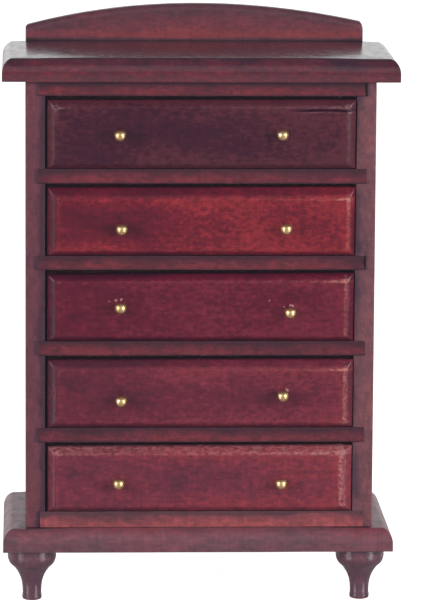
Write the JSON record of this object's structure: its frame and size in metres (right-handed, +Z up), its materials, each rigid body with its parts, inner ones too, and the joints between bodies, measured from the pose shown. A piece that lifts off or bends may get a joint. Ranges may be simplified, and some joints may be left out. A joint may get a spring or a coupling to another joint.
{
  "type": "miniature chest of drawers",
  "caption": "Miniature mahogany-finish chest of drawers on turned feet, with an arched crest, and drawers with brass ball knobs that slide out.",
  "frame": {"origin": "on the ground, under the middle of the bounding box of the closed chest, knobs included", "axes": "+X to the right of a person facing the drawers, +Y to the back, +Z up"},
  "size_m": [0.073, 0.0342, 0.1096],
  "materials": {
    "case_lacquer": "satin mahogany lacquer, darker and slightly greyer than the drawer fronts",
    "drawer_front_lacquer": "satin red mahogany lacquer, rubbed lighter along the edges",
    "drawer_box_wood": "bare pale wood",
    "knob_brass": "polished"
  },
  "bodies": {
    "case": {"base_board": "case_lacquer", "foot_front_left": "case_lacquer", "foot_front_right": "case_lacquer", "foot_rear_left": "case_lacquer", "foot_rear_right": "case_lacquer", "side_left": "case_lacquer", "side_right": "case_lacquer", "case_bottom": "case_lacquer", "divider_4": "case_lacquer", "divider_3": "case_lacquer", "divider_2": "case_lacquer", "divider_1": "case_lacquer", "case_top": "case_lacquer", "back_board": "case_lacquer", "top_board": "case_lacquer"},
    "drawer_1": {"drawer_1_front": "drawer_front_lacquer", "drawer_1_side_left": "drawer_box_wood", "drawer_1_side_right": "drawer_box_wood", "drawer_1_back": "drawer_box_wood", "drawer_1_bottom": "drawer_box_wood", "drawer_1_knob_left": "knob_brass", "drawer_1_knob_right": "knob_brass"},
    "drawer_2": {"drawer_2_front": "drawer_front_lacquer", "drawer_2_side_left": "drawer_box_wood", "drawer_2_side_right": "drawer_box_wood", "drawer_2_back": "drawer_box_wood", "drawer_2_bottom": "drawer_box_wood", "drawer_2_knob_left": "knob_brass", "drawer_2_knob_right": "knob_brass"},
    "drawer_3": {"drawer_3_front": "drawer_front_lacquer", "drawer_3_side_left": "drawer_box_wood", "drawer_3_side_right": "drawer_box_wood", "drawer_3_back": "drawer_box_wood", "drawer_3_bottom": "drawer_box_wood", "drawer_3_knob_left": "knob_brass", "drawer_3_knob_right": "knob_brass"},
    "drawer_4": {"drawer_4_front": "drawer_front_lacquer", "drawer_4_side_left": "drawer_box_wood", "drawer_4_side_right": "drawer_box_wood", "drawer_4_back": "drawer_box_wood", "drawer_4_bottom": "drawer_box_wood", "drawer_4_knob_left": "knob_brass", "drawer_4_knob_right": "knob_brass"},
    "drawer_5": {"drawer_5_front": "drawer_front_lacquer", "drawer_5_side_left": "drawer_box_wood", "drawer_5_side_right": "drawer_box_wood", "drawer_5_back": "drawer_box_wood", "drawer_5_bottom": "drawer_box_wood", "drawer_5_knob_left": "knob_brass", "drawer_5_knob_right": "knob_brass"}
  },
  "joints": [
    {"name": "drawer_1_slide", "type": "slide", "parent": "case", "child": "drawer_1", "axis": [0, -1, 0], "range_m": [0, 0.02]},
    {"name": "drawer_2_slide", "type": "slide", "parent": "case", "child": "drawer_2", "axis": [0, -1, 0], "range_m": [0, 0.02]},
    {"name": "drawer_3_slide", "type": "slide", "parent": "case", "child": "drawer_3", "axis": [0, -1, 0], "range_m": [0, 0.02]},
    {"name": "drawer_4_slide", "type": "slide", "parent": "case", "child": "drawer_4", "axis": [0, -1, 0], "range_m": [0, 0.02]},
    {"name": "drawer_5_slide", "type": "slide", "parent": "case", "child": "drawer_5", "axis": [0, -1, 0], "range_m": [0, 0.02]}
  ]
}
